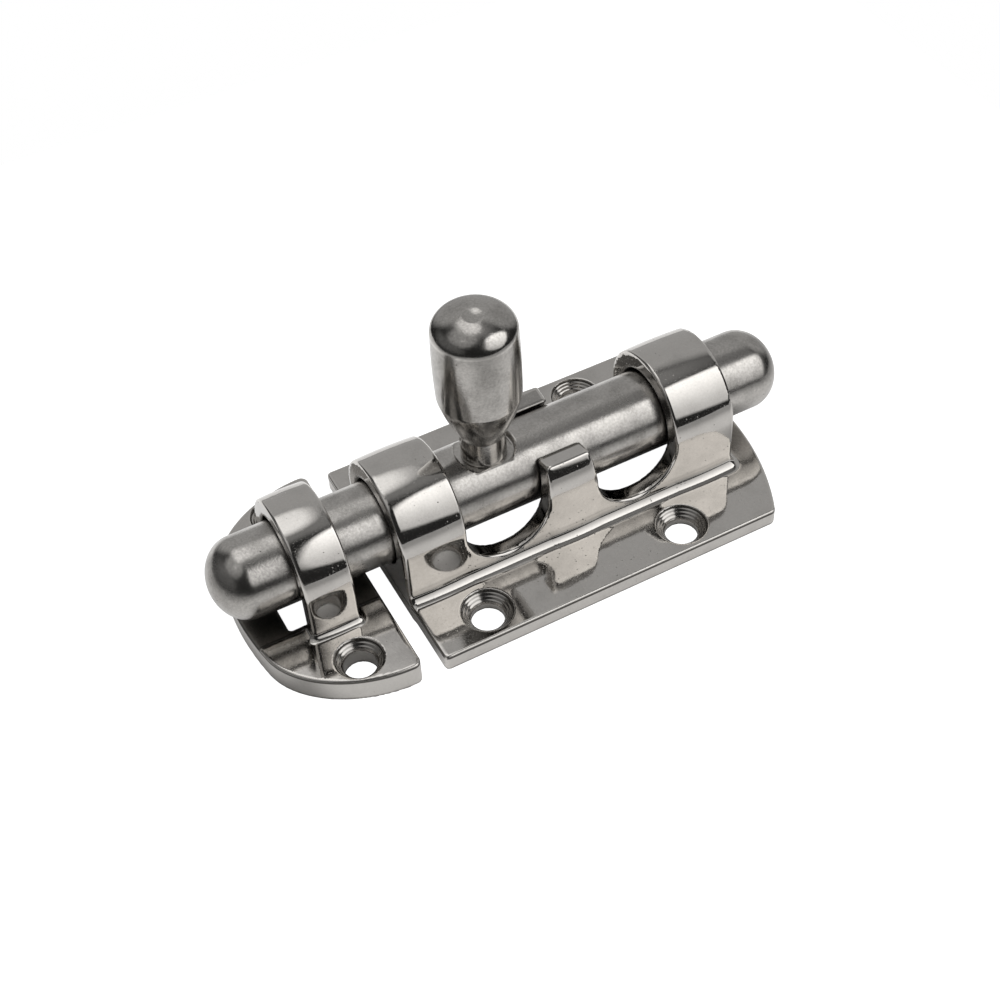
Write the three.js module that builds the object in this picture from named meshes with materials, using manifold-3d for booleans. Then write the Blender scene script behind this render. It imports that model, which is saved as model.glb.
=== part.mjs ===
// A barrel bolt with its keeper, in stainless steel. Millimetres, +Z up.
// X runs along the rod, from the keeper to the tail, Y runs across the plates and Z rises from the
// mounting face. The origin is on the mounting face, below the middle of the rod. The rod is shown
// thrown into the keeper, with its knob standing upright.
import * as THREE from 'three';
import { mergeVertices } from 'three/addons/utils/BufferGeometryUtils.js';
import Module from 'manifold-3d';

const wasm = await Module();
wasm.setup();

// Driving dimensions
const plateWidth = 35;
const rodRadius = 5.25;
const rodLength = 78.2;
const rodDomeLength = 4.4; // slightly flatter than half a ball
const axisHeight = 9.85; // rod axis above the mounting face

const bodyLeft = 21.7 - rodLength / 2; // the left end face of the body casting
const bodyLength = 51.1; // to the middle of its bowed right end
const bodyEndBow = 4.4; // how far that end bows out beyond its corners
const bodyThickness = 2.35;

const keeperGap = 2.8; // between the keeper's plate and the body's
const keeperLength = 16.5;
const keeperThickness = 3.5;
const keeperCornerRadius = 10;
const keeperEndRadius = 40; // of the slightly bowed left end

const archRadius = 8; // outside of the sleeves, the walls and the keeper's arch
const boreRadius = 5.6; // in the two sleeves
const keeperBoreRadius = 5.8;
const footFillet = 1.6; // where a wall meets its plate
const keeperFootFillet = 1;

const sleeveLength = 8.45;
const notchWidth = 11.2; // the knob's neck drops into a notch when it is turned
const notchDepth = 6; // below the rod axis
const lugWidth = 7; // of the wall left standing between the notches
const lugTopHeight = 4.25; // above the rod axis
const lugDraft = 0.6; // how much narrower each side of a lug is at its top
const endWall = 3; // closes the channel below the rod at each end of the body

const keeperArchInset = 3.6; // from the keeper's right edge to its arch
const keeperArchLength = 6.1;
const keeperWindowRight = 1; // the window below the arch starts this far inside its right face
const keeperWindowLength = 7.2;
const windowHalfWidth = 5.2;

const screwRadius = 2.05;
const bodySinkRadius = 3.25;
const keeperSinkRadius = 3;
const sinkLip = 0.25; // straight wall of a countersink above its cone
const bodyScrews = [
  [7.8, 13.4],
  [35.3, 13.5],
]; // from the body's left end, and from the rod axis
const keeperScrew = [6.2, 13.1]; // from the keeper's right edge, and from the rod axis

// The knob's heights are above the rod axis.
const knobFromBodyLeft = 15.05;
const neckRadius = 2.85;
const neckTop = 8;
const taperBend = [4.8, 12.3]; // radius and height of the point that the taper curves round
const knobEdgeRadius = 5.15; // at the bottom and the top of the barrel
const knobSwell = 0.2; // twice what the barrel gains at its middle
const barrelBottom = 14.3;
const barrelTop = 24;
const knobDomeHeight = 3;
const knobRunningGap = 0.3; // between the foot of the knob's neck and the rod
const over = 1; // how far a cutter runs past a face

// Places worked out from them
const halfWidth = plateWidth / 2;
const sleeveRight = bodyLeft + sleeveLength;
const tailSleeveLeft = sleeveRight + 2 * notchWidth + lugWidth;
const ridgeRight = tailSleeveLeft + sleeveLength;
const keeperRight = bodyLeft - keeperGap;
const archRight = keeperRight - keeperArchInset;
const archLeft = archRight - keeperArchLength;
const knobX = bodyLeft + knobFromBodyLeft;

const polishedSteel = { color: 0xb9b3ac, roughness: 0.12, metalness: 1 };
const turnedSteel = { color: 0xa39d96, roughness: 0.38, metalness: 1 };

// A closed three.js geometry as a solid that can be joined and cut.
function solid(geometry) {
  const bare = geometry.index ? geometry.toNonIndexed() : geometry.clone();
  bare.deleteAttribute('normal');
  bare.deleteAttribute('uv');
  const merged = mergeVertices(bare, 1e-4);
  const corners = merged.index.array;
  const triangles = [];
  for (let i = 0; i < corners.length; i += 3) {
    const [a, b, c] = corners.slice(i, i + 3);
    if (a !== b && b !== c && c !== a) {
      triangles.push(a, b, c);
    }
  }
  const mesh = new wasm.Mesh({
    numProp: 3,
    vertProperties: Float32Array.from(merged.attributes.position.array),
    triVerts: Uint32Array.from(triangles),
  });
  return new wasm.Manifold(mesh);
}

// The node of a finished solid.
function node(name, shape, finish) {
  const { vertProperties, triVerts } = shape.getMesh();
  const geometry = new THREE.BufferGeometry();
  geometry.setAttribute('position', new THREE.BufferAttribute(Float32Array.from(vertProperties), 3));
  geometry.setIndex(new THREE.BufferAttribute(Uint32Array.from(triVerts), 1));
  const faceted = geometry.toNonIndexed();
  faceted.computeVertexNormals();
  const mesh = new THREE.Mesh(faceted, new THREE.MeshStandardMaterial(finish));
  mesh.name = name;
  return mesh;
}

// An outline extruded between two places along Z, X or Y. Its first axis is X, Y or X in turn, and
// its second is Y, Z or Z.
function alongZ(shape, low, high, curveSegments = 16) {
  const settings = { depth: high - low, bevelEnabled: false, curveSegments };
  return new THREE.ExtrudeGeometry(shape, settings).translate(0, 0, low);
}

function alongX(shape, low, high, curveSegments = 16) {
  const turn = new THREE.Matrix4().makeBasis(
    new THREE.Vector3(0, 1, 0),
    new THREE.Vector3(0, 0, 1),
    new THREE.Vector3(1, 0, 0),
  );
  return alongZ(shape, low, high, curveSegments).applyMatrix4(turn);
}

function alongY(shape, low, high, curveSegments = 16) {
  const turn = new THREE.Matrix4().makeBasis(
    new THREE.Vector3(1, 0, 0),
    new THREE.Vector3(0, 0, 1),
    new THREE.Vector3(0, -1, 0),
  );
  return alongZ(shape, -high, -low, curveSegments).applyMatrix4(turn);
}

function box(x0, x1, y0, y1, z0, z1) {
  const middle = [(x0 + x1) / 2, (y0 + y1) / 2, (z0 + z1) / 2];
  return solid(new THREE.BoxGeometry(x1 - x0, y1 - y0, z1 - z0).translate(...middle));
}

// A profile from the bottom up, of points with a radius and a height, turned about the Z axis.
function turned(points, segments) {
  return new THREE.LatheGeometry(points, segments).rotateX(Math.PI / 2);
}

function circle(y, z, radius) {
  return new THREE.Shape().absarc(y, z, radius, 0, 2 * Math.PI, false);
}

// The section of a wall that arches over the rod, down to the mounting face, with its foot fillets.
function archSection(plateTop, fillet) {
  const foot = archRadius + fillet;
  const spring = plateTop + fillet;
  const section = new THREE.Shape();
  section.moveTo(-foot, 0);
  section.lineTo(foot, 0);
  section.lineTo(foot, plateTop);
  section.absarc(foot, spring, fillet, -Math.PI / 2, -Math.PI, true);
  section.lineTo(archRadius, axisHeight);
  section.absarc(0, axisHeight, archRadius, 0, Math.PI, false);
  section.lineTo(-archRadius, spring);
  section.absarc(-foot, spring, fillet, 0, -Math.PI / 2, true);
  return section;
}

// A countersunk screw hole, as the solid that it removes.
function screwCutter(x, y, plateTop, sinkRadius) {
  const coneBottom = plateTop - sinkLip - (sinkRadius - screwRadius);
  const profile = [
    new THREE.Vector2(0, -over),
    new THREE.Vector2(screwRadius, -over),
    new THREE.Vector2(screwRadius, coneBottom),
    new THREE.Vector2(sinkRadius, plateTop - sinkLip),
    new THREE.Vector2(sinkRadius, plateTop + over),
    new THREE.Vector2(0, plateTop + over),
  ];
  return solid(turned(profile, 28).translate(x, y, 0));
}

// A notch through both walls: round at the bottom, upright on its sleeve side, and leaning on its
// lug side by the lug's draft.
function notchCutter(sleeveSide, lugSide) {
  const radius = notchWidth / 2;
  const middle = (sleeveSide + lugSide) / 2;
  const centre = axisHeight - notchDepth + radius;
  const top = axisHeight + lugTopHeight;
  const toLug = Math.sign(lugSide - sleeveSide);
  const from = toLug > 0 ? Math.PI : 0;
  const outline = new THREE.Shape();
  outline.moveTo(sleeveSide, top + over);
  outline.lineTo(sleeveSide, centre);
  outline.absarc(middle, centre, radius, from, from + toLug * Math.PI, toLug < 0);
  outline.lineTo(lugSide + toLug * lugDraft, top);
  outline.lineTo(lugSide + toLug * lugDraft, top + over);
  const reach = archRadius + footFillet + over;
  return solid(alongY(outline, -reach, reach));
}

function bodyPlateOutline() {
  const right = bodyLeft + bodyLength;
  const endRadius = (halfWidth ** 2 + bodyEndBow ** 2) / (2 * bodyEndBow);
  const reach = Math.asin(halfWidth / endRadius);
  const outline = new THREE.Shape();
  outline.moveTo(bodyLeft, halfWidth);
  outline.lineTo(bodyLeft, -halfWidth);
  outline.absarc(right - endRadius, 0, endRadius, -reach, reach, false);
  return outline;
}

// The casting that holds the rod: a plate, two sleeves and, between them on each side, a low wall
// with two notches and a lug. It is hollow below the rod.
function body() {
  const plateTop = bodyThickness;
  const lugTop = axisHeight + lugTopHeight;
  const archTop = axisHeight + archRadius;
  const reach = archRadius + over;
  const lugMiddle = (sleeveRight + tailSleeveLeft) / 2;
  let casting = solid(alongZ(bodyPlateOutline(), 0, plateTop, 12));
  casting = casting.add(solid(alongX(archSection(plateTop, footFillet), bodyLeft, ridgeRight)));
  const cutters = [
    solid(alongX(circle(0, axisHeight, boreRadius), bodyLeft - over, ridgeRight + over, 48)),
    box(bodyLeft + endWall, ridgeRight - endWall, -boreRadius, boreRadius, -over, axisHeight),
    box(sleeveRight, tailSleeveLeft, -reach, reach, lugTop, archTop + over),
    notchCutter(sleeveRight, lugMiddle - lugWidth / 2),
    notchCutter(tailSleeveLeft, lugMiddle + lugWidth / 2),
  ];
  for (const [x, y] of bodyScrews) {
    for (const side of [-1, 1]) {
      cutters.push(screwCutter(bodyLeft + x, side * y, plateTop, bodySinkRadius));
    }
  }
  for (const cutter of cutters) {
    casting = casting.subtract(cutter);
  }
  return casting;
}

// Straight sides, a straight right edge and a left end of three arcs that run into each other.
function keeperPlateOutline() {
  const left = keeperRight - keeperLength;
  const endCentre = left + keeperEndRadius;
  const cornerY = halfWidth - keeperCornerRadius;
  const between = keeperEndRadius - keeperCornerRadius;
  const cornerX = endCentre - Math.sqrt(between ** 2 - cornerY ** 2);
  const meeting = Math.asin(cornerY / between);
  const outline = new THREE.Shape();
  outline.moveTo(keeperRight, -halfWidth);
  outline.lineTo(keeperRight, halfWidth);
  outline.absarc(cornerX, cornerY, keeperCornerRadius, Math.PI / 2, Math.PI - meeting, false);
  outline.absarc(endCentre, 0, keeperEndRadius, Math.PI - meeting, Math.PI + meeting, false);
  outline.absarc(cornerX, -cornerY, keeperCornerRadius, Math.PI + meeting, 1.5 * Math.PI, false);
  return outline;
}

// The casting that the rod is thrown into: a thicker plate with one arch over a window.
function keeper() {
  const plateTop = keeperThickness;
  const windowRight = archRight - keeperWindowRight;
  const windowLeft = windowRight - keeperWindowLength;
  const bore = circle(0, axisHeight, keeperBoreRadius);
  let casting = solid(alongZ(keeperPlateOutline(), 0, plateTop, 12));
  casting = casting.add(solid(alongX(archSection(plateTop, keeperFootFillet), archLeft, archRight)));
  casting = casting.subtract(solid(alongX(bore, archLeft - over, archRight + over, 48)));
  const window = [windowLeft, windowRight, -windowHalfWidth, windowHalfWidth, -over, axisHeight];
  casting = casting.subtract(box(...window));
  for (const side of [-1, 1]) {
    const x = keeperRight - keeperScrew[0];
    casting = casting.subtract(screwCutter(x, side * keeperScrew[1], plateTop, keeperSinkRadius));
  }
  return casting;
}

// The rod, turned from bar, with a dome at each end.
function rod() {
  const tailDome = rodLength - rodDomeLength;
  const profile = new THREE.Path();
  profile.absellipse(0, rodDomeLength, rodRadius, rodDomeLength, -Math.PI / 2, 0, false);
  profile.lineTo(rodRadius, tailDome);
  profile.absellipse(0, tailDome, rodRadius, rodDomeLength, 0, Math.PI / 2, false);
  const bar = turned(profile.getPoints(4), 56).rotateY(Math.PI / 2);
  return solid(bar.translate(-rodLength / 2, 0, axisHeight));
}

// The knob: a domed barrel that tapers to a neck. The foot of the neck is hollowed to the rod's
// curve, so that it turns about the rod's axis with a small gap.
function knob() {
  const profile = new THREE.Path();
  profile.moveTo(0, 0);
  profile.lineTo(neckRadius, 0);
  profile.lineTo(neckRadius, neckTop);
  profile.quadraticCurveTo(...taperBend, knobEdgeRadius, barrelBottom);
  const barrelMiddle = (barrelBottom + barrelTop) / 2;
  profile.quadraticCurveTo(knobEdgeRadius + knobSwell, barrelMiddle, knobEdgeRadius, barrelTop);
  profile.absellipse(0, barrelTop, knobEdgeRadius, knobDomeHeight, 0, Math.PI / 2, false);
  const whole = solid(turned(profile.getPoints(4), 36).translate(knobX, 0, axisHeight));
  const clear = circle(0, axisHeight, rodRadius + knobRunningGap);
  const room = 2 * neckRadius;
  return whole.subtract(solid(alongX(clear, knobX - room, knobX + room, 56)));
}

const barrelBolt = new THREE.Group();
barrelBolt.add(
  node('body_casting', body(), polishedSteel),
  node('keeper_casting', keeper(), polishedSteel),
  node('bolt_rod', rod(), turnedSteel),
  node('bolt_knob', knob(), turnedSteel),
);

export default barrelBolt;
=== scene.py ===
# A barrel bolt and its keeper: mirror-polished stainless castings, with a satin rod and knob.
# Lengths are in millimetres until a mesh is made. Places come from the frame's boxes and joints.
import math

import bpy
import numpy as np
from mathutils import Matrix, Vector


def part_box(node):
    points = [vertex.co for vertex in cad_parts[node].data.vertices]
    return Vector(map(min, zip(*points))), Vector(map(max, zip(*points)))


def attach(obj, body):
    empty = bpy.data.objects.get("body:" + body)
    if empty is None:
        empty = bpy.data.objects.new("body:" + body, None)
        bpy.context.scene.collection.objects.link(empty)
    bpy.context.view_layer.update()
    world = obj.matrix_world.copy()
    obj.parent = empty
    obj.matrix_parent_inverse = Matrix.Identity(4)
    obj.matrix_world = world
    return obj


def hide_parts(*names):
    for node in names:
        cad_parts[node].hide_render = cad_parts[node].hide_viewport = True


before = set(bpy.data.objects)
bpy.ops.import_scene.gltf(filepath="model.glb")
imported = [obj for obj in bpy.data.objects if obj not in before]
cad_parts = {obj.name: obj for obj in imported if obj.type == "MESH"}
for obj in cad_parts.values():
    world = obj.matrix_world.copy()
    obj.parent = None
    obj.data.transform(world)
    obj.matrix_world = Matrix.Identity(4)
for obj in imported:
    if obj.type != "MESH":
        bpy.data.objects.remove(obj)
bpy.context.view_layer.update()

MM = 0.001

# ---- Places that the frame gives, in millimetres


def box_mm(node):
    low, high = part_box(node)
    return low / MM, high / MM


body_low, body_high = box_mm("body_casting")
keeper_low, keeper_high = box_mm("keeper_casting")
rod_low, rod_high = box_mm("bolt_rod")
knob_low, knob_high = box_mm("bolt_knob")

BODY_LEFT = body_low.x
BODY_RIGHT = body_high.x
KEEPER_LEFT = keeper_low.x
KEEPER_RIGHT = keeper_high.x
HALF_WIDTH = body_high.y
ROD_RADIUS = rod_high.y
ROD_HALF_LENGTH = rod_high.x
AXIS = (rod_low.z + rod_high.z) / 2  # height of the rod's axis above the mounting face
ARCH_RADIUS = body_high.z - AXIS
KNOB_X = (knob_low.x + knob_high.x) / 2
KNOB_TOP = knob_high.z - AXIS  # above the rod's axis, as every height on the knob is

# ---- Dimensions of the castings

EDGE = 0.35  # how far a polished edge is rounded
CROWN = 0.12  # how far polishing has rounded the walls off towards their ends
BODY_THICKNESS = 2.35
BODY_END_RADIUS = 37.0
KEEPER_THICKNESS = 3.5
KEEPER_END_RADIUS = 40.0
KEEPER_CORNER_RADIUS = 10.0
BORE_RADIUS = 5.6
KEEPER_BORE_RADIUS = 5.8
BODY_FILLET = 1.6  # where a wall meets its plate
KEEPER_FILLET = 1.1
SLEEVE_LENGTH = 8.45
NOTCH_RADIUS = 5.6
NOTCH_DEPTH = 6.0  # below the rod's axis
LUG_WIDTH = 7.0
LUG_LEAN = 0.6  # how much narrower each side of a lug is at its top
LUG_TOP = 3.0  # height of a lug's top, carried inwards to the axis
LUG_TILT = 0.22  # how steeply a lug's top rises outwards
END_WALL = 3.0
ARCH_INSET = 3.6  # from the keeper's right edge to its arch
ARCH_LENGTH = 6.1
WINDOW_INSET = 1.0  # from the arch's right face to the window below it
WINDOW_LENGTH = 7.2
WINDOW_HALF_WIDTH = 5.2
SCREW_RADIUS = 2.05
BODY_SINK_RADIUS = 3.25
KEEPER_SINK_RADIUS = 3.0
SINK_LIP = 0.2  # the straight wall above a countersink's cone
BODY_SCREWS = [(BODY_LEFT + 7.8, 13.4), (BODY_LEFT + 35.3, 13.5)]  # along X, and to either side
KEEPER_SCREW = (KEEPER_RIGHT - 6.2, 13.1)
RIDGE_END = BODY_LEFT + 2 * SLEEVE_LENGTH + 4 * NOTCH_RADIUS + LUG_WIDTH
NOTCH_MIDDLE = NOTCH_RADIUS - NOTCH_DEPTH  # height of a notch's centre, from the rod's axis

# How far other edges and corners of the castings are rounded.
PLATE_CORNER = 0.8
BODY_END_CORNER = 0.5
KEEPER_CORNER = 1.0  # of its straight end
WINDOW_CORNER = 0.5
LUG_EDGE = 0.45
HOLLOW_EDGE = 0.3
MOUNTING_EDGE = 0.2
SINK_RIM = 0.12
SINK_LIP_CORNER = 0.1
SINK_FOOT = 0.15

# ---- Dimensions of the rod and the knob

ROD_DOME = 4.4
SEAT_RADIUS = 3.75  # of the flat seat that is cut in the rod round the knob's neck
SEAT_HEIGHT = 4.35  # above the rod's axis
NECK_RADIUS = 2.85
NECK_TOP = 8.0
TAPER_BEND = (4.8, 12.3)  # radius and height of the point that the taper curves round
KNOB_EDGE_RADIUS = 5.15
KNOB_SWELL_RADIUS = 5.25
BARREL_BOTTOM = 14.3
BARREL_TOP = 24.0
DIMPLE_RADIUS = 2.4
DIMPLE_DEPTH = 0.2
DIMPLE_PLACE = (-0.33, -0.75)  # from the knob's axis, where the lathe's tool left it
DIMPLE_EDGE = 0.35
SEAT_EDGE = 0.12
NECK_FOOT = 0.1  # how far the neck's lower edge is rounded
NECK_GAP = 0.02  # between the neck and its seat

# ---- Solids as signed distances: negative inside, in millimetres


def join(a, b, fillet):
    """Both solids, with a fillet where they meet."""
    rise = np.hypot(np.maximum(fillet - a, 0), np.maximum(fillet - b, 0))
    return np.maximum(fillet, np.minimum(a, b)) - rise


def common(a, b, edge):
    """What two solids share, with a rounded edge where their faces meet."""
    rise = np.hypot(np.maximum(edge + a, 0), np.maximum(edge + b, 0))
    return np.minimum(-edge, np.maximum(a, b)) + rise


def cut(a, b, edge):
    """Solid a without solid b."""
    return common(a, -b, edge)


def arched(y, height, radius):
    """A wall section: half a circle about the rod's axis, with straight sides below it."""
    return np.where(height > 0, np.hypot(y, height), np.abs(y)) - radius


def crown(x, members):
    """How far polishing has rounded a wall off, towards the ends of each member along X."""
    offs = [np.minimum(((x - middle) / half) ** 2, 1) for middle, half in members]
    return CROWN * np.minimum.reduce(offs)


def screw_hole(x, y, above_plate, place, sink_radius):
    """A through hole and its countersink, one on each side of the rod."""
    off_axis = np.hypot(x - place[0], np.abs(y) - place[1])
    depth = SINK_LIP + sink_radius - SCREW_RADIUS
    cone = (off_axis - SCREW_RADIUS - above_plate - depth) / math.sqrt(2)
    sink = common(cone, off_axis - sink_radius, SINK_LIP_CORNER)
    return join(sink, off_axis - SCREW_RADIUS, SINK_FOOT)


def body_outline(x, y):
    end = np.hypot(x - (BODY_RIGHT - BODY_END_RADIUS), y) - BODY_END_RADIUS
    return common(np.abs(y) - HALF_WIDTH, end, BODY_END_CORNER)


def notch_flank(x, height, centre, side):
    """Outside of a notch's flank next to the lug: a quarter circle, then a wall that leans."""
    rise = height - NOTCH_MIDDLE
    lean = LUG_LEAN / (LUG_TOP + LUG_TILT * ARCH_RADIUS - NOTCH_MIDDLE)
    leaning = side * (x - centre) - NOTCH_RADIUS - lean * np.maximum(rise, 0)
    wall = leaning / math.hypot(1, lean)
    return np.where(rise < 0, np.hypot(x - centre, rise) - NOTCH_RADIUS, wall)


def body_opening(x, y, height):
    """The space between the sleeves: two notches with a lug standing between them."""
    left = BODY_LEFT + SLEEVE_LENGTH
    right = left + 4 * NOTCH_RADIUS + LUG_WIDTH  # where the right sleeve starts
    centres = (left + NOTCH_RADIUS, right - NOTCH_RADIUS)
    past = np.maximum(np.maximum(centres[0] - x, x - centres[1]), 0)
    below = np.minimum(height - NOTCH_MIDDLE, 0)
    slot = np.hypot(past, below) - NOTCH_RADIUS
    lug = np.maximum(
        -notch_flank(x, height, centres[0], 1),
        -notch_flank(x, height, centres[1], -1),
    )
    top = (height - LUG_TOP - LUG_TILT * np.abs(y)) / math.hypot(1, LUG_TILT)
    return np.maximum(slot, -common(lug, top, LUG_EDGE))


def body_hollow(x, y, height):
    """The bore through the sleeves, and the channel below the rod."""
    ends = np.maximum(BODY_LEFT + END_WALL - x, x - (RIDGE_END - END_WALL))
    channel = np.maximum(np.maximum(np.abs(y) - BORE_RADIUS, height), ends)
    return np.minimum(np.hypot(y, height) - BORE_RADIUS, channel)


def body_casting(x, y, z):
    height = z - AXIS
    outline = common(body_outline(x, y), BODY_LEFT - x, PLATE_CORNER)
    plate = common(outline, z - BODY_THICKNESS, EDGE)
    sleeve = SLEEVE_LENGTH / 2
    members = [
        (BODY_LEFT + sleeve, sleeve),
        ((BODY_LEFT + RIDGE_END) / 2, LUG_WIDTH / 2),
        (RIDGE_END - sleeve, sleeve),
    ]
    radius = ARCH_RADIUS - crown(x, members)
    ridge = common(arched(y, height, radius), x - RIDGE_END, EDGE)
    solid = join(plate, ridge, BODY_FILLET)
    solid = common(solid, BODY_LEFT - x, EDGE)
    solid = cut(solid, body_opening(x, y, height), EDGE)
    solid = cut(solid, body_hollow(x, y, height), HOLLOW_EDGE)
    for place in BODY_SCREWS:
        hole = screw_hole(x, y, z - BODY_THICKNESS, place, BODY_SINK_RADIUS)
        solid = cut(solid, hole, SINK_RIM)
    return common(solid, -z, MOUNTING_EDGE)


def keeper_window(x, y, height):
    right = KEEPER_RIGHT - ARCH_INSET - WINDOW_INSET
    sides = common(np.abs(y) - WINDOW_HALF_WIDTH, right - WINDOW_LENGTH - x, WINDOW_CORNER)
    return np.maximum(np.maximum(sides, x - right), height)


def keeper_outline(x, y):
    end = np.hypot(x - (KEEPER_LEFT + KEEPER_END_RADIUS), y) - KEEPER_END_RADIUS
    outline = common(np.abs(y) - HALF_WIDTH, end, KEEPER_CORNER_RADIUS)
    return common(outline, x - KEEPER_RIGHT, KEEPER_CORNER)


def keeper_hollow(y, height, z):
    return np.where(
        height > 0,
        np.hypot(y, height) - KEEPER_BORE_RADIUS,
        np.maximum(np.abs(y) - KEEPER_BORE_RADIUS, KEEPER_THICKNESS - z),
    )


def keeper_casting(x, y, z):
    height = z - AXIS
    middle = KEEPER_RIGHT - ARCH_INSET - ARCH_LENGTH / 2
    plate = common(keeper_outline(x, y), z - KEEPER_THICKNESS, EDGE)
    across = np.abs(x - middle) - ARCH_LENGTH / 2
    radius = ARCH_RADIUS - crown(x, [(middle, ARCH_LENGTH / 2)])
    arch = common(arched(y, height, radius), across, EDGE)
    solid = join(plate, arch, KEEPER_FILLET)
    solid = cut(solid, keeper_hollow(y, height, z), HOLLOW_EDGE)
    solid = cut(solid, keeper_window(x, y, height), HOLLOW_EDGE)
    hole = screw_hole(x, y, z - KEEPER_THICKNESS, KEEPER_SCREW, KEEPER_SINK_RADIUS)
    return common(cut(solid, hole, SINK_RIM), -z, MOUNTING_EDGE)


def bolt_rod(x, y, z):
    height = z - AXIS
    into_dome = np.maximum(np.abs(x) - ROD_HALF_LENGTH + ROD_DOME, 0) / ROD_DOME
    bar = (np.sqrt(into_dome**2 + (y**2 + height**2) / ROD_RADIUS**2) - 1) * ROD_RADIUS
    seat = np.maximum(np.hypot(x - KNOB_X, y) - SEAT_RADIUS, SEAT_HEIGHT - height)
    return cut(bar, seat, SEAT_EDGE)


def curve(start, middle, end, steps=24):
    """Points on the curve that leaves start towards middle and reaches end from it."""
    t = np.linspace(0, 1, steps)[:, None]
    points = [np.array(p, float) for p in (start, middle, end)]
    return (1 - t) ** 2 * points[0] + 2 * t * (1 - t) * points[1] + t**2 * points[2]


def knob_profile():
    """Radius against height, from the rod's axis to above the dome."""
    edge_low = (KNOB_EDGE_RADIUS, BARREL_BOTTOM)
    edge_high = (KNOB_EDGE_RADIUS, BARREL_TOP)
    swell = (2 * KNOB_SWELL_RADIUS - KNOB_EDGE_RADIUS, (BARREL_BOTTOM + BARREL_TOP) / 2)
    parts = [
        [(NECK_RADIUS, 0.0)],
        curve((NECK_RADIUS, NECK_TOP), TAPER_BEND, edge_low),
        curve(edge_low, swell, edge_high)[1:],
        [(KNOB_EDGE_RADIUS, KNOB_TOP + 1)],
    ]
    return np.concatenate([np.array(p, float) for p in parts])


KNOB_PROFILE = knob_profile()


def bolt_knob(x, y, z):
    height = z - AXIS
    off_axis = np.hypot(x - KNOB_X, y)
    side = off_axis - np.interp(height, KNOB_PROFILE[:, 1], KNOB_PROFILE[:, 0])
    dome_height = KNOB_TOP - BARREL_TOP
    rise = np.maximum(height - BARREL_TOP, 0) / dome_height
    dome = (np.sqrt(rise**2 + (off_axis / KNOB_EDGE_RADIUS) ** 2) - 1) * dome_height
    dome = np.where(height > BARREL_TOP, dome, height - BARREL_TOP)
    across, along = DIMPLE_PLACE
    from_dimple = np.hypot(x - KNOB_X - across, y - along)
    dimple = np.hypot(from_dimple, height - KNOB_TOP - DIMPLE_RADIUS + DIMPLE_DEPTH)
    solid = cut(np.maximum(side, dome), dimple - DIMPLE_RADIUS, DIMPLE_EDGE)
    return common(solid, SEAT_HEIGHT + NECK_GAP - height, NECK_FOOT)


# ---- Meshes of those solids

GRID_MARGIN = 0.9  # round a CAD node's box: the knob's neck goes a little below its own
STIFFNESS = 0.05  # how strongly a point is held at the middle of its cell's crossings
CELL_MARGIN = 0.15  # how far out of its cell a point may go, as a share of the cell


def slope(distance, points, reach=0.01):
    """The direction in which a distance grows fastest, at some points."""
    columns = []
    for axis in range(3):
        step = np.zeros(3)
        step[axis] = reach
        ahead = distance(*(points + step).T)
        behind = distance(*(points - step).T)
        columns.append(ahead - behind)
    direction = np.stack(columns, axis=1)
    return direction / np.maximum(np.linalg.norm(direction, axis=1), 1e-9)[:, None]


def crossings(distance, near, far, halvings=8):
    """Where the surface cuts the lines from near points to far points."""
    near_inside = distance(*near.T) < 0
    for _ in range(halvings):
        middle = (near + far) / 2
        same = ((distance(*middle.T) < 0) == near_inside)[:, None]
        near = np.where(same, middle, near)
        far = np.where(same, far, middle)
    return (near + far) / 2


def best_points(rings, cuts, normals, low, high):
    """In each cell, the point that fits all the tangent planes of the surface there."""
    members = rings.ravel()
    total = len(low)

    def gather(values):
        spread = np.repeat(values, 4, axis=0)
        sums = [np.bincount(members, column, total) for column in spread.T]
        return np.stack(sums, axis=1)

    count = np.bincount(members, minlength=total)[:, None]
    middle = gather(cuts) / count
    outer = (normals[:, :, None] * normals[:, None, :]).reshape(-1, 9)
    planes = gather(outer).reshape(-1, 3, 3)
    reach = gather(normals * (normals * cuts).sum(axis=1, keepdims=True))
    rest = reach - np.einsum("nij,nj->ni", planes, middle)
    move = np.linalg.solve(planes + STIFFNESS * np.eye(3), rest[:, :, None])[:, :, 0]
    margin = CELL_MARGIN * (high - low)
    return np.clip(middle + move, low - margin, high + margin)


def grid_lines(low, high, spans, fine, coarse):
    """Places of the grid's planes along one axis: closer together in some spans."""
    lines = [low - GRID_MARGIN]
    while lines[-1] < high + GRID_MARGIN:
        close = any(start < lines[-1] < end for start, end in spans)
        lines.append(lines[-1] + (fine if close else coarse))
    return np.array(lines)


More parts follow.
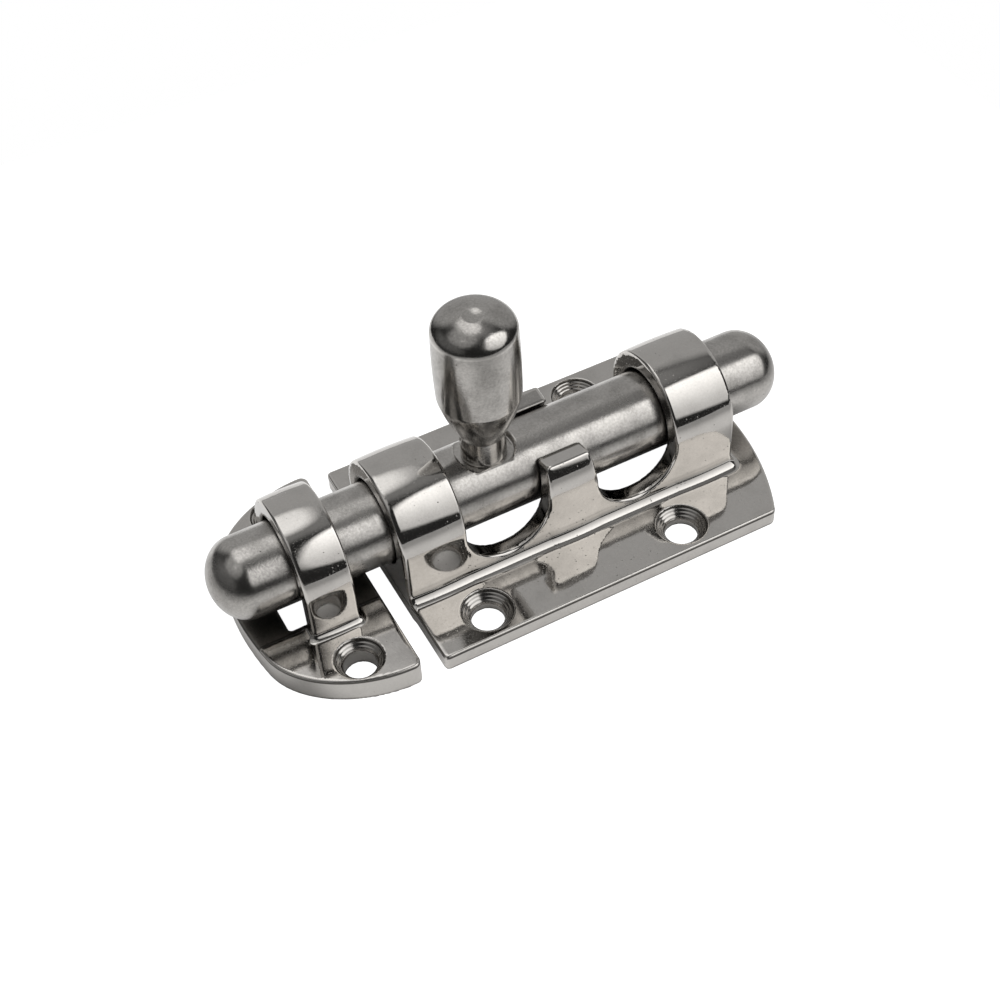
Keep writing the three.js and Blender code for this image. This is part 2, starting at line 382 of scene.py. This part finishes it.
def skin(name, distance, axes):
    """A closed mesh of a solid, with a point in each grid cell that its surface crosses."""
    inside = distance(*np.meshgrid(*axes, indexing="ij", sparse=True)) < 0
    shape = [n - 1 for n in inside.shape]
    counts = np.zeros(shape, np.int8)
    for i, j, k in np.ndindex(2, 2, 2):
        counts += inside[i:i + shape[0], j:j + shape[1], k:k + shape[2]]
    crossed = (counts > 0) & (counts < 8)
    number = np.full(shape, -1)
    number[crossed] = np.arange(crossed.sum())

    def places(indices):
        return np.stack([axes[i][indices[:, i]] for i in range(3)], axis=1)

    quads = []
    edges = []
    for axis in range(3):
        ahead = np.moveaxis(inside, axis, 0)
        cell_at = np.moveaxis(number, axis, 0)
        leaving = ahead[:-1] & ~ahead[1:]
        entering = ~ahead[:-1] & ahead[1:]
        for change, flip in ((leaving, axis == 1), (entering, axis != 1)):
            u, v, w = np.nonzero(change[:, 1:-1, 1:-1])
            steps = ((0, 0), (1, 0), (1, 1), (0, 1))
            ring = [cell_at[u, v + i, w + j] for i, j in steps]
            quads.append(np.stack(ring[::-1] if flip else ring, axis=1))
            index = [v + 1, w + 1]
            index.insert(axis, u)
            near = np.stack(index, axis=1)
            edges.append(np.stack([places(near), places(near + np.eye(3, dtype=int)[axis])]))
    faces = np.concatenate(quads)
    near, far = np.concatenate(edges, axis=1)
    cuts = crossings(distance, near, far)
    cells = np.argwhere(crossed)
    points = best_points(faces, cuts, slope(distance, cuts), places(cells), places(cells + 1))
    mesh = bpy.data.meshes.new(name)
    mesh.vertices.add(len(points))
    mesh.vertices.foreach_set("co", (points * MM).astype(np.float32).ravel())
    mesh.loops.add(faces.size)
    mesh.loops.foreach_set("vertex_index", faces.astype(np.int32).ravel())
    mesh.polygons.add(len(faces))
    mesh.polygons.foreach_set("loop_start", np.arange(0, faces.size, 4, dtype=np.int32))
    mesh.update(calc_edges=True)
    mesh.validate()
    mesh.shade_smooth()
    mesh.normals_split_custom_set_from_vertices(slope(distance, points, 0.05))
    piece = bpy.data.objects.new(name, mesh)
    bpy.context.scene.collection.objects.link(piece)
    return piece, points


def stand_for(name, distance, finish, node, body, material, grid):
    """Builds one piece, which rides on a body in place of a CAD node."""
    low, high = box_mm(node)
    spans = grid.get("spans", ([], [], []))
    axes = [grid_lines(*place, grid["fine"], grid["coarse"]) for place in zip(low, high, spans)]
    piece, points = skin(name, distance, axes)
    finishes = finish(*points.T)
    finishes["bend"] = curvature(distance, points)
    for attribute, values in finishes.items():
        layer = piece.data.attributes.new(attribute, "FLOAT", "POINT")
        layer.data.foreach_set("value", values.astype(np.float32))
    piece.data.materials.append(material)
    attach(piece, body)
    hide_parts(node)


# ---- Finishes and painted shade, as values at each point of a mesh

# How far finishes, and the painted shade in the hollows and below, reach from the surfaces that have
# them.
FINISH_REACH = 0.4
SINK_REACH = 0.12
UNDERSIDE_REACH = 0.3
ABOVE_PLATE = 0.1


def curvature(distance, points, reach=0.25):
    """How sharply a surface bends, from -1 in a tight corner to 1 on a crisp edge."""
    total = -6 * distance(*points.T)
    for step in reach * np.concatenate([np.eye(3), -np.eye(3)]):
        total = total + distance(*(points + step).T)
    return np.clip(total / reach**2 / 3, -1, 1)


def closeness(distance, reach):
    """1 on a surface, fading to 0 at some distance from it."""
    return np.clip(1 - np.abs(distance) / reach, 0, 1)


def casting_finish_and_shade(z, thickness, outline, hollow, holes, from_screw):
    """Satin on the plate's sides, rough with painted shade in the hollow and below, and turned in the
    countersinks.
    """
    return {
        "satin": closeness(outline, FINISH_REACH) * (z < thickness + ABOVE_PLATE),
        "below_top": thickness - z,
        # Rough, and darker as painted shade, in the hollow and on the underside.
        "rough_and_shaded": np.maximum(closeness(hollow, FINISH_REACH), closeness(z, UNDERSIDE_REACH)),
        "sink": closeness(holes, SINK_REACH),
        "from_screw": from_screw,
    }


def body_finish_and_shade(x, y, z):
    height = z - AXIS
    outline = np.maximum(body_outline(x, y), BODY_LEFT - x)
    above = z - BODY_THICKNESS
    holes = [screw_hole(x, y, above, place, BODY_SINK_RADIUS) for place in BODY_SCREWS]
    off_axis = [np.hypot(x - place[0], np.abs(y) - place[1]) for place in BODY_SCREWS]
    hollow = body_hollow(x, y, height)
    nearest = np.minimum(*off_axis)
    return casting_finish_and_shade(z, BODY_THICKNESS, outline, hollow, np.minimum(*holes), nearest)


def keeper_finish_and_shade(x, y, z):
    height = z - AXIS
    hole = screw_hole(x, y, z - KEEPER_THICKNESS, KEEPER_SCREW, KEEPER_SINK_RADIUS)
    off_axis = np.hypot(x - KEEPER_SCREW[0], np.abs(y) - KEEPER_SCREW[1])
    hollow = np.minimum(keeper_hollow(y, height, z), keeper_window(x, y, height))
    return casting_finish_and_shade(z, KEEPER_THICKNESS, keeper_outline(x, y), hollow, hole, off_axis)


def rod_finish(x, y, z):
    """How far along its path over the rod a lathe's tool was."""
    radius = np.hypot(y, z - AXIS)
    return {"along": x + np.sign(x) * (ROD_RADIUS - radius)}


def knob_finish(x, y, z):
    height = z - AXIS
    inwards = KNOB_SWELL_RADIUS - np.hypot(x - KNOB_X, y)
    middle = (BARREL_BOTTOM + BARREL_TOP) / 2
    return {"along": height + np.where(height > middle, inwards, -inwards)}


# ---- Materials

PALE_STEEL = (0.63, 0.607, 0.577)
# The dark end of the steel's colour: pits, specks and scratches, and also the painted shade.
DARK_STEEL_AND_SHADE = (0.09, 0.085, 0.078)
SCRATCH_WIDTH = 0.08
SCRATCH_LENGTH = 3.5
ROD_SCRATCH_LENGTH = 2.5
SCRATCH_RANGE = (0.7, 0.76)  # of the noise that makes them
SCRATCH_TURNS = [(0.2, 0.3, 0.5), (1.1, -0.4, -0.7), (0.1, 0.9, 1.6)]
ROD_SCRATCH_TURNS = [(0.0, 0.1, 0.15), (0.9, 0.5, -0.8)]
PIT_FLOOR = 0.4  # of a pit's radius
# The spacing and radius of pits, and the share of the places that have one.
SMALL_PITS = (0.55, 0.09, 0.4)
LARGE_PITS = (2.3, 0.14, 0.3)
ROD_PITS = (1.3, 0.09, 0.2)
RING_SPACING = 0.32  # of the turning rings in a countersink
# Depths below a plate's top where a painted dark line on its side, a painted reflection of the dark
# room in its rounded edge, goes from nothing to its darkest.
PAINTED_LINE_TOP = (0.12, 0.26)
PAINTED_LINE_BOTTOM = (0.54, 0.4)
POLISHED_SMOOTHEST = 0.045  # the least roughness
ROD_SMOOTHEST = 0.16
KNOB_SMOOTHEST = 0.1


def link(tree, value, socket):
    """Sets an input socket, or links it where the value is another node's output."""
    if isinstance(value, bpy.types.NodeSocket):
        tree.links.new(value, socket)
    else:
        socket.default_value = value


def calculate(tree, operation, *values):
    node = tree.nodes.new("ShaderNodeMath")
    node.operation = operation
    for socket, value in zip(node.inputs, values):
        link(tree, value, socket)
    return node.outputs["Value"]


def ramp(tree, value, start, end, low=0.0, high=1.0):
    """Changes smoothly from low where value is start to high where it is end."""
    node = tree.nodes.new("ShaderNodeMapRange")
    node.interpolation_type = "SMOOTHSTEP"
    for socket, setting in zip(node.inputs, (value, start, end, low, high)):
        link(tree, setting, socket)
    return node.outputs["Result"]


def weighted(tree, *terms):
    """The sum of some values, each times its weight."""
    total = 0.0
    for value, weight in terms:
        total = calculate(tree, "MULTIPLY_ADD", value, weight, total)
    return total


def point_value(tree, name):
    node = tree.nodes.new("ShaderNodeAttribute")
    node.attribute_name = name
    return node.outputs["Fac"]


def millimetres(tree):
    """Where a point is on the piece, in millimetres."""
    node = tree.nodes.new("ShaderNodeVectorMath")
    node.operation = "SCALE"
    tree.links.new(tree.nodes.new("ShaderNodeTexCoord").outputs["Object"], node.inputs[0])
    node.inputs["Scale"].default_value = 1 / MM
    return node.outputs["Vector"]


def noise(tree, place, size, detail=2.0, turn=(0, 0, 0)):
    """Smooth noise from 0 to 1. Its features have one size, or three along turned axes."""
    mapping = tree.nodes.new("ShaderNodeMapping")
    mapping.vector_type = "TEXTURE"
    tree.links.new(place, mapping.inputs["Vector"])
    mapping.inputs["Rotation"].default_value = turn
    mapping.inputs["Scale"].default_value = size if isinstance(size, tuple) else (size,) * 3
    node = tree.nodes.new("ShaderNodeTexNoise")
    tree.links.new(mapping.outputs["Vector"], node.inputs["Vector"])
    node.inputs["Scale"].default_value = 1
    node.inputs["Detail"].default_value = detail
    return node.outputs["Fac"]


def pits(tree, place, spacing, radius, share):
    """1 inside small round pits, which a share of the cells of a loose grid have."""
    node = tree.nodes.new("ShaderNodeTexVoronoi")
    tree.links.new(place, node.inputs["Vector"])
    node.inputs["Scale"].default_value = 1 / spacing
    rim = radius / spacing
    spot = ramp(tree, node.outputs["Distance"], rim, PIT_FLOOR * rim)
    chance = tree.nodes.new("ShaderNodeSeparateColor")
    tree.links.new(node.outputs["Color"], chance.inputs["Color"])
    chosen = calculate(tree, "LESS_THAN", chance.outputs["Red"], share)
    return calculate(tree, "MULTIPLY", spot, chosen)


def scratches(tree, place, length, turns):
    """Thin straight scratches, one set for each turn."""
    total = 0.0
    for turn in turns:
        streak = noise(tree, place, (length, SCRATCH_WIDTH, SCRATCH_WIDTH), 1.0, turn)
        total = calculate(tree, "MAXIMUM", ramp(tree, streak, *SCRATCH_RANGE), total)
    return total


def tinted(tree, light, dark, share):
    """A colour between a light and a dark one."""
    node = tree.nodes.new("ShaderNodeMix")
    node.data_type = "RGBA"
    node.clamp_factor = True
    link(tree, share, node.inputs["Factor"])
    colours = [socket for socket in node.inputs if socket.type == "RGBA"]
    colours[0].default_value = (*light, 1)
    colours[1].default_value = (*dark, 1)
    return [socket for socket in node.outputs if socket.type == "RGBA"][0]


def metal(name, tree_of, *settings):
    """A metal whose colour, roughness and height in millimetres come from tree_of."""
    material = bpy.data.materials.new(name)
    material.use_nodes = True
    tree = material.node_tree
    shader = tree.nodes["Principled BSDF"]
    shader.inputs["Metallic"].default_value = 1
    colour, roughness, height = tree_of(tree, *settings)
    link(tree, colour, shader.inputs["Base Color"])
    link(tree, roughness, shader.inputs["Roughness"])
    bump = tree.nodes.new("ShaderNodeBump")
    bump.inputs["Distance"].default_value = MM
    link(tree, height, bump.inputs["Height"])
    link(tree, bump.outputs["Normal"], shader.inputs["Normal"])
    return material


def polished(tree):
    """Polished stainless steel: soft waves, faint scratches, a few pits and duller sides, with painted
    shade in the hollows, below and in tight corners, a dark line painted as a reflection under a
    plate's top edge, and a painted highlight on crisp edges.
    """
    place = millimetres(tree)
    satin = point_value(tree, "satin")
    rough_and_shaded = point_value(tree, "rough_and_shaded")
    sink = point_value(tree, "sink")
    smudge = ramp(tree, noise(tree, place, size=3.5, detail=4.0), 0.4, 0.75)
    waves = noise(tree, place, size=5.0, detail=1.0)
    ripple = noise(tree, place, size=0.9, detail=2.0)
    grain = noise(tree, place, size=0.16, detail=3.0)
    speckle = noise(tree, place, size=0.28, detail=3.0)
    worn = ramp(tree, noise(tree, place, size=6.0, detail=3.0), 0.42, 0.62)
    small_pits = calculate(tree, "MULTIPLY", pits(tree, place, *SMALL_PITS), worn)
    pitted = calculate(tree, "MAXIMUM", small_pits, pits(tree, place, *LARGE_PITS))
    bend = point_value(tree, "bend")
    # On crisp edges a painted highlight, lighter in colour, and a little more roughness.
    edge = ramp(tree, bend, 0.2, 0.9)
    # Painted shade in tight corners, which are also a little rougher.
    shaded_corner = ramp(tree, bend, -0.15, -0.8)
    below_top = point_value(tree, "below_top")
    # Painted reflection: a dark line along a plate's side, just below its top edge.
    on_side = ramp(tree, satin, 0.4, 0.8)
    fade_in = ramp(tree, below_top, *PAINTED_LINE_TOP)
    fade_out = ramp(tree, below_top, *PAINTED_LINE_BOTTOM)
    painted_dark_line = calculate(tree, "MULTIPLY", calculate(tree, "MULTIPLY", fade_in, fade_out), on_side)
    scratched = scratches(tree, place, SCRATCH_LENGTH, SCRATCH_TURNS)
    radians_per_mm = 2 * math.pi / RING_SPACING
    around = calculate(tree, "MULTIPLY", point_value(tree, "from_screw"), radians_per_mm)
    rings = calculate(tree, "MULTIPLY", calculate(tree, "SINE", around), sink)
    dull = calculate(tree, "MULTIPLY", grain, weighted(tree, (satin, 0.006), (rough_and_shaded, 0.014)))
    height = weighted(
        tree,
        (waves, 0.035),
        (ripple, 0.0016),
        (speckle, 0.0012),
        (pitted, -0.03),
        (scratched, -0.0012),
        (rings, 0.012),
        (dull, 1.0),
    )
    roughness = weighted(
        tree,
        (1.0, POLISHED_SMOOTHEST),
        (smudge, 0.05),
        (satin, 0.24),
        (rough_and_shaded, 0.32),
        (sink, 0.1),
        (pitted, 0.4),
        (scratched, 0.05),
        (edge, 0.06),
        (shaded_corner, 0.2),
    )
    darkness = weighted(
        tree,
        (smudge, 0.1),
        (satin, 0.02),
        # Painted shade: the hollow and the underside are darker.
        (rough_and_shaded, 0.93),
        (sink, 0.15),
        (pitted, 0.7),
        (speckle, 0.16),
        (grain, 0.06),
        # Painted highlight on crisp edges.
        (edge, -0.15),
        # Painted shade in tight corners.
        (shaded_corner, 0.7),
        # The painted dark line under a plate's top edge.
        (painted_dark_line, 1.2),
    )
    return tinted(tree, PALE_STEEL, DARK_STEEL_AND_SHADE, darkness), roughness, height


def turned(tree, smoothest):
    """Turned stainless steel: fine marks round the axis, a speckle, faint scratches and pits, and a
    painted highlight on crisp edges.
    """
    place = millimetres(tree)
    split = tree.nodes.new("ShaderNodeSeparateXYZ")
    tree.links.new(place, split.inputs[0])
    path = tree.nodes.new("ShaderNodeCombineXYZ")
    link(tree, point_value(tree, "along"), path.inputs["X"])
    link(tree, split.outputs["Y"], path.inputs["Y"])
    link(tree, calculate(tree, "ADD", split.outputs["Z"], split.outputs["X"]), path.inputs["Z"])
    marks = noise(tree, path.outputs[0], size=(0.13, 6.0, 6.0), detail=2.0)
    bands = noise(tree, path.outputs[0], size=(1.6, 12.0, 12.0), detail=1.0)
    speckle = noise(tree, place, size=0.3, detail=3.0)
    cloud = ramp(tree, noise(tree, place, size=3.0, detail=4.0), 0.35, 0.7)
    pitted = pits(tree, place, *ROD_PITS)
    scratched = scratches(tree, place, ROD_SCRATCH_LENGTH, ROD_SCRATCH_TURNS)
    height = weighted(
        tree,
        (marks, 0.0022),
        (bands, 0.004),
        (speckle, 0.006),
        (pitted, -0.03),
        (scratched, -0.002),
    )
    # A painted highlight: crisp edges, such as the knob's rim, are lighter.
    edge = ramp(tree, point_value(tree, "bend"), 0.3, 0.9)
    roughness = weighted(tree, (1.0, smoothest), (cloud, 0.08), (speckle, 0.08), (pitted, 0.3))
    darkness = weighted(
        tree,
        (1.0, -0.05),
        (cloud, 0.2),
        (speckle, 0.5),
        (marks, 0.12),
        (pitted, 0.7),
        (scratched, 0.12),
        # Painted highlight on crisp edges.
        (edge, -0.2),
    )
    return tinted(tree, PALE_STEEL, DARK_STEEL_AND_SHADE, darkness), roughness, height


POLISHED = metal("polished_stainless", polished)
ROD_STEEL = metal("turned_stainless_rod", turned, ROD_SMOOTHEST)
KNOB_STEEL = metal("turned_stainless_knob", turned, KNOB_SMOOTHEST)

# ---- The four pieces

# How far the fine parts of a grid reach into a plate and beyond it, at its sides and its top.
INSIDE = 0.6
BESIDE = 0.3
ABOVE = 0.4
AROUND_SINK = 0.5
BODY_END_SPAN = 4.5  # how far in the fine part goes at the body's curved end
KEEPER_END_SPAN = 5.0


def fine_spans(screws, sink_radius, thickness, curved_end):
    """The spans along X, Y and Z that take in the screw holes and the plate's top edges."""
    reach = sink_radius + AROUND_SINK
    along_x = [(x - reach, x + reach) for x, _ in screws] + [curved_end]
    along_y = [
        (HALF_WIDTH - INSIDE, HALF_WIDTH + BESIDE),
        (-HALF_WIDTH - BESIDE, INSIDE - HALF_WIDTH),
    ]
    along_y += [(side * y - reach, side * y + reach) for _, y in screws for side in (-1, 1)]
    return along_x, along_y, [(thickness - INSIDE, thickness + ABOVE)]


body_end = (BODY_RIGHT - BODY_END_SPAN, BODY_RIGHT + BESIDE)
keeper_end = (KEEPER_LEFT - BESIDE, KEEPER_LEFT + KEEPER_END_SPAN)
BODY_GRID = {
    "fine": 0.18,
    "coarse": 0.36,
    "spans": fine_spans(BODY_SCREWS, BODY_SINK_RADIUS, BODY_THICKNESS, body_end),
}
KEEPER_GRID = {
    "fine": 0.17,
    "coarse": 0.3,
    "spans": fine_spans([KEEPER_SCREW], KEEPER_SINK_RADIUS, KEEPER_THICKNESS, keeper_end),
}
stand_for(
    "body", body_casting, body_finish_and_shade, "body_casting", "base", POLISHED, BODY_GRID
)
stand_for(
    "keeper", keeper_casting, keeper_finish_and_shade, "keeper_casting", "base",
    POLISHED, KEEPER_GRID,
)
ROD_GRID = {"fine": 0.25, "coarse": 0.25}
stand_for("rod", bolt_rod, rod_finish, "bolt_rod", "knob", ROD_STEEL, ROD_GRID)
KNOB_GRID = {"fine": 0.18, "coarse": 0.18}
stand_for("knob", bolt_knob, knob_finish, "bolt_knob", "knob", KNOB_STEEL, KNOB_GRID)

# ---- Floor, light and camera

VIEW_AZIMUTH = -24.89  # degrees: 0 looks along +Y
VIEW_ELEVATION = 47.52
VIEW_ROLL = -4.12
VIEW_DISTANCE = 205.18
VIEW_AIM = (-2.5, -4.0, -0.66)  # from the middle of the rod
LENS = 60.32
SENSOR_WIDTH = 36
CLIP_START = 0.01  # metres

FLOOR_HALF_SIZE = 110.0
FLOOR_ALBEDO = 0.8
FLOOR_ROUGHNESS = 0.9
FLOOR_GAP = 0.02  # below the mounting faces
# The floor's glow that the object sees: a painted pool of light round a painted shadow of the object,
# and a painted glow behind it.
SHADOW_HALF_SIZE = (35.0, 13.0)
NEAR_GLOW = {"radiance": 0.43, "shadow_edge": 4.0, "from": 45.0, "to": 10.0}
BACK_GLOW = {"radiance": 0.5, "from": 10.0, "to": 55.0}
ROOM_RADIANCE = 0.025
BOX_SQUARENESS = 3.0  # 2 makes a soft box an ellipse, and more makes it squarer
SIDEWAYS = 0.02  # a direction that faces a soft box by a smaller cosine misses it
SOFT_BOXES = [
    # The key light, in front and to the right.
    {
        "azimuth": 37, "elevation": 32, "roll": -37,
        "half_size": (0.51, 0.55), "blur": 0.12, "radiance": (0.8, 1.95),
    },
    # A dim one, high up to the left.
    {"azimuth": -85, "elevation": 62, "half_size": (0.55, 0.5), "blur": 0.25, "radiance": (0.4, 0.5)},
    # Two brighter ones: overhead towards the back, and a small one inside the dim one.
    {"azimuth": 180, "elevation": 73, "half_size": (0.27, 0.4), "blur": 0.4, "radiance": (1.3, 1.3)},
    {"azimuth": -73, "elevation": 62, "half_size": (0.12, 0.1), "blur": 0.8, "radiance": (0.9, 0.9)},
    # A dim strip straight above.
    {"azimuth": 0, "elevation": 88, "half_size": (0.6, 0.3), "blur": 0.5, "radiance": (0.26, 0.26)},
    # A dim wall to the left, and a pale one behind, to the right.
    {"azimuth": -97, "elevation": 17, "half_size": (0.9, 0.35), "blur": 0.6, "radiance": (0.13, 0.2)},
    {"azimuth": 148, "elevation": 25, "half_size": (1.4, 0.9), "blur": 0.35, "radiance": (0.47, 0.47)},
]


def view_axes(azimuth, elevation, roll):
    """The directions to the right of, above and behind a camera that looks at the object."""
    a, e, r = (math.radians(v) for v in (azimuth, elevation, roll))
    back = Vector((math.sin(a) * math.cos(e), -math.cos(a) * math.cos(e), math.sin(e)))
    level = Vector((math.cos(a), math.sin(a), 0))
    above = back.cross(level)
    right = level * math.cos(r) + above * math.sin(r)
    return right, back.cross(right), back


def make_camera():
    data = bpy.data.cameras.new("camera")
    data.lens = LENS
    data.sensor_width = SENSOR_WIDTH
    data.clip_start = CLIP_START
    camera = bpy.data.objects.new("camera", data)
    bpy.context.scene.collection.objects.link(camera)
    right, up, back = view_axes(VIEW_AZIMUTH, VIEW_ELEVATION, VIEW_ROLL)
    aim = Vector((0, 0, AXIS)) + Vector(VIEW_AIM)
    turn = Matrix((right, up, back)).transposed().to_4x4()
    camera.matrix_world = Matrix.Translation((aim + back * VIEW_DISTANCE) * MM) @ turn
    bpy.context.scene.camera = camera


def make_floor():
    """A pale sheet. The camera sees it evenly white; other rays see a painted glow round a painted
    shadow of the object, and behind it.
    """
    half = FLOOR_HALF_SIZE
    mesh = bpy.data.meshes.new("floor")
    corners = [(-half, -half), (half, -half), (half, half), (-half, half)]
    mesh.from_pydata([(x * MM, y * MM, 0) for x, y in corners], [], [(0, 1, 2, 3)])
    floor = bpy.data.objects.new("floor", mesh)
    bpy.context.scene.collection.objects.link(floor)
    floor.location.z = -FLOOR_GAP * MM
    material = bpy.data.materials.new("floor")
    material.use_nodes = True
    tree = material.node_tree
    shader = tree.nodes["Principled BSDF"]
    shader.inputs["Base Color"].default_value = (FLOOR_ALBEDO, FLOOR_ALBEDO, FLOOR_ALBEDO, 1)
    shader.inputs["Roughness"].default_value = FLOOR_ROUGHNESS
    shader.inputs["Specular IOR Level"].default_value = 0
    shader.inputs["Emission Color"].default_value = (1, 1, 1, 1)
    split = tree.nodes.new("ShaderNodeSeparateXYZ")
    tree.links.new(millimetres(tree), split.inputs[0])
    squares = 0.0
    for axis, half_size in zip("XY", SHADOW_HALF_SIZE):
        aside = calculate(tree, "ABSOLUTE", split.outputs[axis])
        beyond = calculate(tree, "MAXIMUM", calculate(tree, "SUBTRACT", aside, half_size), 0.0)
        squares = calculate(tree, "MULTIPLY_ADD", beyond, beyond, squares)
    away = calculate(tree, "SQRT", squares)
    # A painted pool of light round the object, with a painted shadow over its box.
    near_light = ramp(tree, away, NEAR_GLOW["from"], NEAR_GLOW["to"], 0.0, NEAR_GLOW["radiance"])
    near_light = calculate(
        tree, "MULTIPLY", near_light, ramp(tree, away, 0.0, NEAR_GLOW["shadow_edge"])
    )
    # A painted glow behind the object.
    back = (BACK_GLOW["from"], BACK_GLOW["to"], 0.0, BACK_GLOW["radiance"])
    glow = calculate(tree, "ADD", near_light, ramp(tree, split.outputs["Y"], *back))
    seen = tree.nodes.new("ShaderNodeLightPath").outputs["Is Camera Ray"]
    link(tree, calculate(tree, "MAXIMUM", seen, glow), shader.inputs["Emission Strength"])
    mesh.materials.append(material)


def soft_box(tree, direction, box):
    """How bright the studio is in a direction because of one soft box, which faces the object."""
    right, up, back = view_axes(box["azimuth"], box["elevation"], box.get("roll", 0))
    dots = []
    for axis in (right, up, back):
        node = tree.nodes.new("ShaderNodeVectorMath")
        node.operation = "DOT_PRODUCT"
        tree.links.new(direction, node.inputs[0])
        node.inputs[1].default_value = axis
        dots.append(node.outputs["Value"])
    ahead = calculate(tree, "MAXIMUM", dots[2], SIDEWAYS)
    powers = []
    for dot, size in zip(dots, box["half_size"]):
        scaled = calculate(tree, "DIVIDE", calculate(tree, "DIVIDE", dot, ahead), size)
        powers.append(calculate(tree, "POWER", calculate(tree, "ABSOLUTE", scaled), BOX_SQUARENESS))
    out = calculate(tree, "POWER", calculate(tree, "ADD", *powers), 1 / BOX_SQUARENESS)
    inside = ramp(tree, out, 1 + box["blur"], 1 - box["blur"])
    height = calculate(tree, "DIVIDE", calculate(tree, "DIVIDE", dots[1], ahead), box["half_size"][1])
    level = ramp(tree, height, -1, 1)
    low, high = box["radiance"]
    strength = calculate(tree, "MULTIPLY_ADD", level, high - low, low)
    facing = calculate(tree, "GREATER_THAN", dots[2], SIDEWAYS)
    return calculate(tree, "MULTIPLY", calculate(tree, "MULTIPLY", inside, strength), facing)


def make_studio():
    """A dark room with a few soft boxes. The camera sees white where there is no floor."""
    world = bpy.data.worlds.new("studio")
    bpy.context.scene.world = world
    world.use_nodes = True
    tree = world.node_tree
    direction = tree.nodes.new("ShaderNodeTexCoord").outputs["Generated"]
    total = ROOM_RADIANCE
    for box in SOFT_BOXES:
        total = calculate(tree, "MAXIMUM", soft_box(tree, direction, box), total)
    seen = tree.nodes.new("ShaderNodeLightPath").outputs["Is Camera Ray"]
    total = calculate(tree, "MAXIMUM", total, seen)
    link(tree, total, tree.nodes["Background"].inputs["Strength"])
    tree.nodes["Background"].inputs["Color"].default_value = (1, 1, 1, 1)


make_camera()
make_floor()
make_studio()
bpy.context.scene.view_settings.view_transform = "Standard"
